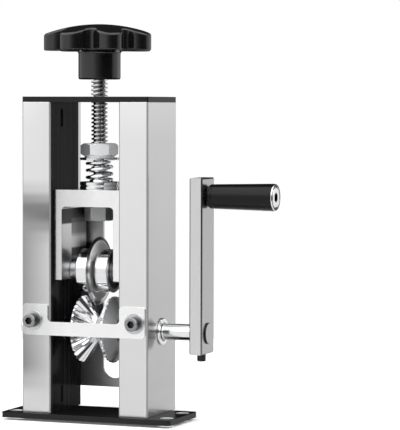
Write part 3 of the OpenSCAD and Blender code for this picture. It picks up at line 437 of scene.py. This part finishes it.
# Blade with painted shade on its bevel and lower face
blade_steel = turned_metal("blade_steel", (0.95, 0.95, 0.95), 0.2, 0, AXLE_CENTRE,
                           dark_beyond=BLADE_R - BEVEL_W, metallic=0.1)
shaft_steel = turned_metal("shaft_steel", BRIGHT, 0.12, 0, DRIVE_CENTRE)
# Black oxide, also used as painted shade on the side of the shaft's head
oxide = metal("black_oxide", (0.045, 0.046, 0.05), 0.32, relief=0.15, tone=0.2)
# Thread with painted shade in its roots
thread_steel = turned_metal("thread_steel", BRIGHT, 0.14, 2, (0, 0, 0), edge=0.1 * MM,
                            dark_within=SCREW_R - ROOT_DEPTH)
# Painted shade for the insides of the tubes
tube_inside = metal("tube_inside", (0.02, 0.02, 0.021), 0.4, metallic=0.4)
# Painted shade for the spindle's socket
socket_shade = metal("socket_shade", (0.006, 0.006, 0.0065), 0.4, metallic=0.6)
brass = metal("brass", (0.68, 0.5, 0.2), 0.24, relief=0.1)
spring_wire = metal("spring_wire", (0.84, 0.845, 0.85), 0.11, rough_spread=0.03, relief=0.03,
                    edge=0, tone=0.02)
black_coat = paint("black_coat", (0.004, 0.004, 0.0045), 0.4, 1400, 0.1, edge=0.4 * MM,
                   specular=0.28)
coat_top = paint("coat_top", (0.003, 0.003, 0.0035), 0.3, 1400, 0.05, edge=0.4 * MM,
                 specular=0.02)
knob_black = paint("knob_black", (0.003, 0.003, 0.0035), 0.11, 500, 0.03, edge=0,
                   specular=0.65)
grip_black = paint("grip_black", (0.002, 0.002, 0.0025), 0.22, 1800, 0.08, edge=0.2 * MM,
                   specular=0.22)
seal_black = paint("seal_black", (0.02, 0.02, 0.021), 0.4, 1600, 0.1, edge=0.1 * MM)

LOOKS = {
    "base_plate": black_coat, "top_plate": black_coat, "screw_bush": brass,
    "left_column": left_alu, "right_column": right_alu, "end_blocks": oxide,
    "top_plate_screws": oxide, "base_plate_screws": oxide, "front_guide": guide_alu,
    "guide_screws": oxide, "guide_washers": zinc, "rear_plate": plain_steel,
    "rear_plate_screws": oxide, "left_bush": chrome, "right_bush": chrome,
    "drive_shaft": shaft_steel, "left_feed_wheel": wheel_steel,
    "right_feed_wheel": wheel_steel, "wheel_keys": zinc, "left_collar": oxide,
    "right_collar": oxide, "collar_pins": zinc, "crank_arm": arm_alu,
    "crank_set_screw": oxide, "grip_spindle": chrome, "grip": grip_black,
    "grip_end_ring": chrome, "upper_spring_washer": chrome, "spring": spring_wire,
    "pressure_screw": chrome, "star_knob": knob_black, "knob_insert": brass,
    "spring_nut": nut_steel, "lock_nut": lock_steel, "slider_block": milled,
    "lower_spring_seat": chrome, "blade_axle": zinc, "axle_screws": zinc,
    "axle_spacers": zinc, "blade_shims": zinc, "bearing_inner_rings": zinc,
    "bearing_balls": chrome, "left_bearing_ring": race_steel,
    "left_bearing_shields": seal_black, "right_bearing_ring": race_steel,
    "right_bearing_shields": seal_black, "blade": blade_steel,
}


for name, obj in NODES.items():
    obj.data.materials.clear()
    obj.data.materials.append(LOOKS[name])


def dress_faces(node, material, chosen):
    """Gives the faces of a node that chosen(centre, normal) accepts a material of their own."""
    mesh = NODES[node].data
    mesh.materials.append(material)
    index = len(mesh.materials) - 1
    for face in mesh.polygons:
        if chosen(face.center, face.normal):
            face.material_index = index


# The faces of the two columns that look at each other: the left one painted near black as shade
# and dark reflection, the right one painted light
dress_faces("left_column", inner_wall,
            lambda c, d: d.x > 0.9 and abs(c.x + COLUMN_LO.x) < NEAR)
dress_faces("right_column", light_wall,
            lambda c, d: d.x < -0.9 and abs(c.x - COLUMN_LO.x) < NEAR)
# Insides of the tubes, seen through the slots near their ends, painted dark as the shade inside
# them
UNDER_SKIN = 0.5 * MM
for column in ("left_column", "right_column"):
    dress_faces(column, tube_inside,
                lambda c, d: COLUMN_LO.x + UNDER_SKIN < abs(c.x) < COLUMN_HI.x - UNDER_SKIN
                and abs(c.y) < COLUMN_HI.y - UNDER_SKIN)
# Facets of the upper nut away from the light and towards it
dress_faces("spring_nut", nut_shade, lambda c, d: d.x < -0.5)
dress_faces("spring_nut", nut_light, lambda c, d: d.x > 0.6)
# The rear plate's front face, with the painted shade of the columns and the sliding block, and
# painted highlights
dress_faces("rear_plate", rear_steel, lambda c, d: d.y < -0.9)
# Insides of the sliding block's legs with painted shade and highlights, backs of the wheels,
# heads of the guide's screws
LEG_T = 6 * MM
dress_faces("slider_block", leg_inner,
            lambda c, d: abs(d.x) > 0.9 and abs(c.x) < SLIDER_HI.x - LEG_T / 2)
dress_faces("left_feed_wheel", wheel_back, lambda c, d: d.x < -0.75)
dress_faces("right_feed_wheel", wheel_back, lambda c, d: d.x > 0.75)
HEAD_CHAMFER = 1 * MM
dress_faces("guide_screws", head_face,
            lambda c, d: d.y < -0.6 and c.y < GUIDE_HEAD_Y + HEAD_CHAMFER)
# Side of the shaft's flat head painted dark as shade, and its face in the arm's painted tone
SHAFT_HEAD_X = SHAFT_HI.x - 1.4 * MM
dress_faces("drive_shaft", oxide, lambda c, d: c.x > SHAFT_HEAD_X and abs(d.x) < 0.8)
dress_faces("drive_shaft", arm_alu, lambda c, d: c.x > SHAFT_HEAD_X and d.x > 0.8)
# Dark face of the grip's end ring, and the socket of its spindle painted black as the shade
# inside it
dress_faces("grip_end_ring", oxide, lambda c, d: d.x > 0.9)
SOCKET_R, SOCKET_DEPTH = 3.9 * MM, 4 * MM
dress_faces("grip_spindle", socket_shade,
            lambda c, d: SPINDLE_HI.x - SOCKET_DEPTH < c.x < SPINDLE_HI.x - NEAR
            and math.hypot(c.y, c.z - SPINDLE_Z) < SOCKET_R)
# Top and hole walls of the base
RIM_W = 1.5 * MM
dress_faces("base_plate", coat_top, lambda c, d: d.z > 0.9 and c.z > BASE_HI.z - NEAR)
dress_faces("base_plate", hole_wall,
            lambda c, d: abs(d.z) < 0.9 and BASE_LO.x + RIM_W < c.x < BASE_HI.x - RIM_W
            and BASE_LO.y + RIM_W < c.y < BASE_HI.y - RIM_W)


# ---------------------------------------------------------------- shapes
def new_piece(name, verts, faces, material, body, replaced=None, smooth_angle=40):
    mesh = bpy.data.meshes.new(name)
    mesh.from_pydata(verts, [], faces)
    mesh.validate()
    obj = bpy.data.objects.new(name, mesh)
    bpy.context.scene.collection.objects.link(obj)
    for face in mesh.polygons:
        face.use_smooth = True
    mesh.set_sharp_from_angle(angle=math.radians(smooth_angle))
    mesh.materials.append(material)
    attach(obj, body)
    if replaced:
        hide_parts(replaced)
    return obj


def grid_faces(rows, columns, closed):
    """Quads between rows of points; closed joins each row's last point to its first."""
    faces = []
    for i in range(rows - 1):
        for j in range(columns if closed else columns - 1):
            k = (j + 1) % columns
            faces.append((i * columns + j, i * columns + k, (i + 1) * columns + k,
                          (i + 1) * columns + j))
    return faces


def threaded_rod(name, radius, lead, depth, z0, z1, body, material, replaced):
    """Trapezoidal thread: rows follow the helix, so the crests stay clean."""
    sides, chamfer_h = 48, 0.8 * MM
    # Each row's place as a share of the lead, and how deep it lies as a share of the depth
    profile = [(0.0, 1), (0.17, 1), (0.20, 0.93), (0.31, 0.07), (0.34, 0), (0.66, 0),
               (0.69, 0.07), (0.80, 0.93), (0.83, 1)]
    pitches = int(math.ceil((z1 - z0) / lead)) + 2
    rows = []
    for p in range(pitches):
        rows += [((p - 1) * lead + share * lead, radius - depth * low) for share, low in profile]
    verts = []
    for s, r in rows:
        for i in range(sides + 1):
            z = min(max(z0 + s + lead * i / sides, z0), z1)
            a = math.tau * i / sides
            chamfer = max(0.0, chamfer_h - min(z - z0, z1 - z))
            rr = min(r, radius - chamfer)
            verts.append((rr * math.cos(a), rr * math.sin(a), z))
    faces = grid_faces(len(rows), sides + 1, False)
    end_r = radius - chamfer_h
    for z, flip in ((z0, True), (z1, False)):
        start = len(verts)
        for i in range(sides):
            a = math.tau * i / sides
            verts.append((end_r * math.cos(a), end_r * math.sin(a), z))
        order = list(range(start, start + sides))
        faces.append(tuple(reversed(order)) if flip else tuple(order))
    new_piece(name, verts, faces, material, body, replaced, 50)


threaded_rod("screw_thread", SCREW_R, SCREW_LEAD, THREAD_DEPTH, SCREW_LO.z, SCREW_HI.z,
             "screw", thread_steel, "pressure_screw")


def coil_spring():
    """Spring closely wound at both ends, one smooth wire with tapered tips."""
    wire_r = 1.1 * MM
    outer_r = (SPRING_HI.x - SPRING_LO.x) / 2
    path_r = outer_r - wire_r
    turns, steps, sides = 3.0, 48, 16
    low = SPRING_LO.z + wire_r
    rise = SPRING_HI.z - SPRING_LO.z - 2 * wire_r
    end_pitch = 3.0 * MM
    pitch = (rise - end_pitch) / (turns - 1)
    bend = 0.06

    def height(t):
        if t < 0.5:
            return t * end_pitch
        if t > turns - 0.5:
            return rise - (turns - t) * end_pitch
        return 0.5 * end_pitch + (t - 0.5) * pitch

    verts, count = [], int(turns * steps)
    for i in range(count + 1):
        t = i / steps
        a = math.tau * t
        smooth = (height(max(t - bend, 0)) + height(t) + height(min(t + bend, turns))) / 3
        taper = min(1.0, 0.35 + min(i, count - i) * 0.35)
        for k in range(sides):
            b = math.tau * k / sides
            r = path_r + wire_r * taper * math.cos(b)
            verts.append((r * math.cos(a), r * math.sin(a),
                          low + smooth + wire_r * taper * math.sin(b)))
    faces = grid_faces(count + 1, sides, True)
    faces.append(tuple(reversed(range(sides))))
    faces.append(tuple(range(count * sides, (count + 1) * sides)))
    return new_piece("coil", verts, faces, spring_wire, "lift", "spring", 60)


coil = coil_spring()
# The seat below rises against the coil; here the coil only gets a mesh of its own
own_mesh(coil)


def star_knob():
    """Star knob with rounded edges: lobes and hollows round a domed rim, and a hub below it."""
    knob_r, lobe_r, lobe_depth, lobes = 40.75 * MM, 9.5 * MM, 13.5 * MM, 7
    rim_h, dome_h = 12 * MM, 7.5 * MM
    hub_r, hub_round, fillet, bore, bore_chamfer = (15.5 * MM, 1.2 * MM, 2.5 * MM, 10.2 * MM,
                                                    0.6 * MM)
    under, top = 1.2 * MM, 1.6 * MM
    lobe_steps, hollow_steps, sides = 22, 14, 96
    first = math.radians(307)
    dome_r = (knob_r ** 2 + dome_h ** 2) / (2 * dome_h)
    rim_z = KNOB_LO.z + KNOB_HUB_H
    rim_top = rim_z + rim_h
    lobe_pitch = knob_r - lobe_r
    floor_r = knob_r - lobe_depth
    step = math.pi / lobes
    hollow_pitch = ((lobe_pitch ** 2 - (floor_r - lobe_r) ** 2)
                    / (2 * (lobe_pitch * math.cos(step) - (floor_r - lobe_r))))
    hollow_r = hollow_pitch - floor_r
    meet = math.acos((lobe_pitch ** 2 + (lobe_r + hollow_r) ** 2 - hollow_pitch ** 2)
                     / (2 * lobe_pitch * (lobe_r + hollow_r)))
    hollow_half = math.pi - meet - step
    outline = []
    for k in range(lobes):
        a = first + 2 * step * k
        for i in range(lobe_steps + 1):
            t = (math.pi - meet) * (2 * i / lobe_steps - 1)
            c = Vector((math.cos(a), math.sin(a))) * lobe_pitch
            d = Vector((math.cos(a + t), math.sin(a + t)))
            outline.append((c + d * lobe_r, d))
        h = a + step
        for i in range(1, hollow_steps):
            t = math.pi + hollow_half * (1 - 2 * i / hollow_steps)
            c = Vector((math.cos(h), math.sin(h))) * hollow_pitch
            d = Vector((math.cos(h + t), math.sin(h + t)))
            outline.append((c + d * hollow_r, -d))

    def top_z(p):
        return rim_top + dome_h - dome_r + math.sqrt(dome_r ** 2 - p.length_squared)

    verts = []

    def ring(inset, z_of, share=1.0):
        for p, d in outline:
            q = (p - d * inset) * share
            verts.append((q.x, q.y, z_of(q)))

    for share in (0.42, 0.7):
        ring(under, lambda q: rim_z, share)
    for i in range(6):
        b = math.pi / 2 * i / 5
        ring(under * (1 - math.sin(b)), lambda q, b=b: rim_z + under * (1 - math.cos(b)))
    for i in range(8):
        b = math.pi / 2 * i / 7
        ring(top * (1 - math.cos(b)), lambda q, b=b: top_z(q) - top * (1 - math.sin(b)))
    for share in (0.9, 0.75, 0.6, 0.45, 0.3, 0.15, 0.04):
        ring(top, top_z, share)
    count = len(outline)
    rows = len(verts) // count
    faces = grid_faces(rows, count, True)
    faces.append(tuple(range((rows - 1) * count, rows * count)))
    faces.append(tuple(reversed(range(count))))

    # Hub, with a small fillet under the rim and a rounded lower edge
    hub_lo = KNOB_LO.z
    profile = [(bore, rim_z - 1 * MM), (bore, hub_lo + bore_chamfer),
               (bore + bore_chamfer, hub_lo)]
    for i in range(6):
        b = math.pi / 2 * i / 5
        profile.append((hub_r - hub_round * (1 - math.sin(b)),
                        hub_lo + hub_round * (1 - math.cos(b))))
    for i in range(7):
        b = math.pi / 2 * i / 6
        profile.append((hub_r + fillet * (1 - math.cos(b)),
                        rim_z - fillet * (1 - math.sin(b)) + 0.02 * MM))
    start = len(verts)
    for r, z in profile:
        for i in range(sides):
            a = math.tau * i / sides
            verts.append((r * math.cos(a), r * math.sin(a), z))
    faces += [tuple(start + v for v in f) for f in grid_faces(len(profile), sides, True)]
    new_piece("knob", verts, faces, knob_black, "screw", "star_knob", 35)


star_knob()

# ---------------------------------------------------------------- floor, light and camera
# Tones of the floor for light and for the camera: it keeps the shadow on a white background
FLOOR_R, FLOOR_DROP, FLOOR_SIDES = 0.6, 2 * MM, 64
FLOOR_TONE, FLOOR_SEEN, FLOOR_GLOW = (0.62, 0.62, 0.622), (0.95, 0.95, 0.952), 0.12
floor_mesh = bpy.data.meshes.new("floor")
floor_mesh.from_pydata([(FLOOR_R * math.cos(math.tau * i / FLOOR_SIDES),
                         FLOOR_R * math.sin(math.tau * i / FLOOR_SIDES), 0)
                        for i in range(FLOOR_SIDES)], [], [tuple(range(FLOOR_SIDES))])
floor = bpy.data.objects.new("floor", floor_mesh)
floor.location.z = -FLOOR_DROP
bpy.context.scene.collection.objects.link(floor)
f = Nodes("floor")
f.set(Roughness=1.0, Specular_IOR_Level=0.0)
seen = f.add("ShaderNodeLightPath").outputs["Is Camera Ray"]
f.drive("Base Color", f.mix(seen, FLOOR_TONE, FLOOR_SEEN))
glow = f.add("ShaderNodeEmission")
glow.inputs["Color"].default_value = (1, 1, 1, 1)
f.link(f.math("MULTIPLY", seen, FLOOR_GLOW), glow.inputs["Strength"])
total = f.add("ShaderNodeAddShader")
f.link(f.bsdf.outputs[0], total.inputs[0])
f.link(glow.outputs[0], total.inputs[1])
f.link(total.outputs[0], f.out.inputs["Surface"])
floor_mesh.materials.append(f.mat)

# The studio round the object, by degrees from the front (-Y), above 0 towards +X: bright from
# the left to the front and at the rear right, dark right of the front and at the rear left
STUDIO = [(-180, 0.02), (-135, 0.02), (-122, 0.15), (-110, 0.8), (-60, 0.95), (-24, 1.0),
          (-8, 0.9), (4, 0.55), (15, 0.32), (26, 0.2), (40, 0.06), (66, 0.04), (94, 0.07),
          (106, 0.7), (140, 0.95), (166, 0.95), (178, 0.1), (180, 0.02)]
# The same for the light from above
SKY = [(-180, 0.01), (-130, 0.01), (-110, 0.5), (-80, 1.0), (90, 1.0), (125, 0.8), (150, 0.04),
       (180, 0.01)]
# Over the height, from straight below (0) to straight above (1): the share of the sky, the
# sky's level and the level of the lower studio
SKY_SHARE = [(0.58, 0.0), (0.74, 1.0)]
SKY_HEIGHT = [(0.5, 0.6), (0.7, 1.0), (0.97, 1.0), (1.0, 0.6)]
LOW_HEIGHT = [(0.0, 0.25), (0.28, 0.3), (0.42, 1.0)]
SKY_GAIN, STUDIO_STRENGTH = 2.3, 0.95

studio = bpy.data.worlds.new("studio")
bpy.context.scene.world = studio
w = Tree(studio)
toward = w.split(w.add("ShaderNodeTexCoord").outputs["Generated"])
angle = w.math("ARCTAN2", toward["X"], w.math("MULTIPLY", toward["Y"], -1))
turn = w.math("ADD", w.math("DIVIDE", angle, math.tau), 0.5)
up = w.math("ADD", w.math("MULTIPLY", toward["Z"], 0.5), 0.5)
around, sky_around = (w.ramp(turn, [(degrees / 360 + 0.5, level) for degrees, level in stops])
                      for stops in (STUDIO, SKY))
sky = w.math("MULTIPLY", w.ramp(up, SKY_HEIGHT), sky_around)
light = w.mix(w.ramp(up, SKY_SHARE), w.math("MULTIPLY", around, w.ramp(up, LOW_HEIGHT)),
              w.math("MULTIPLY", sky, SKY_GAIN))
studio_light = w.add("ShaderNodeBackground")
w.link(light, studio_light.inputs["Color"])
studio_light.inputs["Strength"].default_value = STUDIO_STRENGTH
white = w.add("ShaderNodeBackground")
white.inputs["Color"].default_value = (1, 1, 1, 1)
white.inputs["Strength"].default_value = 1.0
choose = w.add("ShaderNodeMixShader")
w.link(w.add("ShaderNodeLightPath").outputs["Is Camera Ray"], choose.inputs[0])
w.link(studio_light.outputs[0], choose.inputs[1])
w.link(white.outputs[0], choose.inputs[2])
w.link(choose.outputs[0], w.add("ShaderNodeOutputWorld").inputs["Surface"])


LAMP_TARGET = Vector((0, 0, 0.13))


def area_light(name, place, size, power):
    """A soft lamp aimed at the object, unseen in reflections."""
    data = bpy.data.lights.new(name, "AREA")
    data.shape = "RECTANGLE"
    data.size, data.size_y = size
    data.energy = power
    obj = bpy.data.objects.new(name, data)
    obj.location = place
    obj.rotation_mode = "QUATERNION"
    obj.rotation_quaternion = (LAMP_TARGET - Vector(place)).to_track_quat("-Z", "Y")
    obj.visible_glossy = False
    bpy.context.scene.collection.objects.link(obj)


area_light("key", (-0.9, -1.3, 1.3), (0.8, 0.8), 9)
area_light("fill", (1.3, -0.9, 0.9), (0.6, 0.9), 4)

# Camera at the photograph's place, from the fit of the columns and plates
CAM_PLACE = Vector((0.6973, -1.5889, 0.2295))
YAW, PITCH, ROLL = (math.radians(degrees) for degrees in (21.2444, -2.6569, 0.1358))
LENS, SENSOR_W, CLIP_END = 196.99, 36, 50
ahead = Vector((-math.sin(YAW) * math.cos(PITCH), math.cos(YAW) * math.cos(PITCH),
                math.sin(PITCH)))
right = Vector((math.cos(YAW), math.sin(YAW), 0))
upward = right.cross(ahead)
cam_x = right * math.cos(ROLL) + upward * math.sin(ROLL)
cam_y = upward * math.cos(ROLL) - right * math.sin(ROLL)
camera_data = bpy.data.cameras.new("camera")
camera_data.lens = LENS
camera_data.sensor_width = SENSOR_W
camera_data.clip_end = CLIP_END
camera = bpy.data.objects.new("camera", camera_data)
camera.matrix_world = Matrix((
    (cam_x.x, cam_y.x, -ahead.x, CAM_PLACE.x),
    (cam_x.y, cam_y.y, -ahead.y, CAM_PLACE.y),
    (cam_x.z, cam_y.z, -ahead.z, CAM_PLACE.z),
    (0, 0, 0, 1)))
bpy.context.scene.collection.objects.link(camera)
bpy.context.scene.camera = camera

bpy.context.scene.view_settings.view_transform = "Standard"
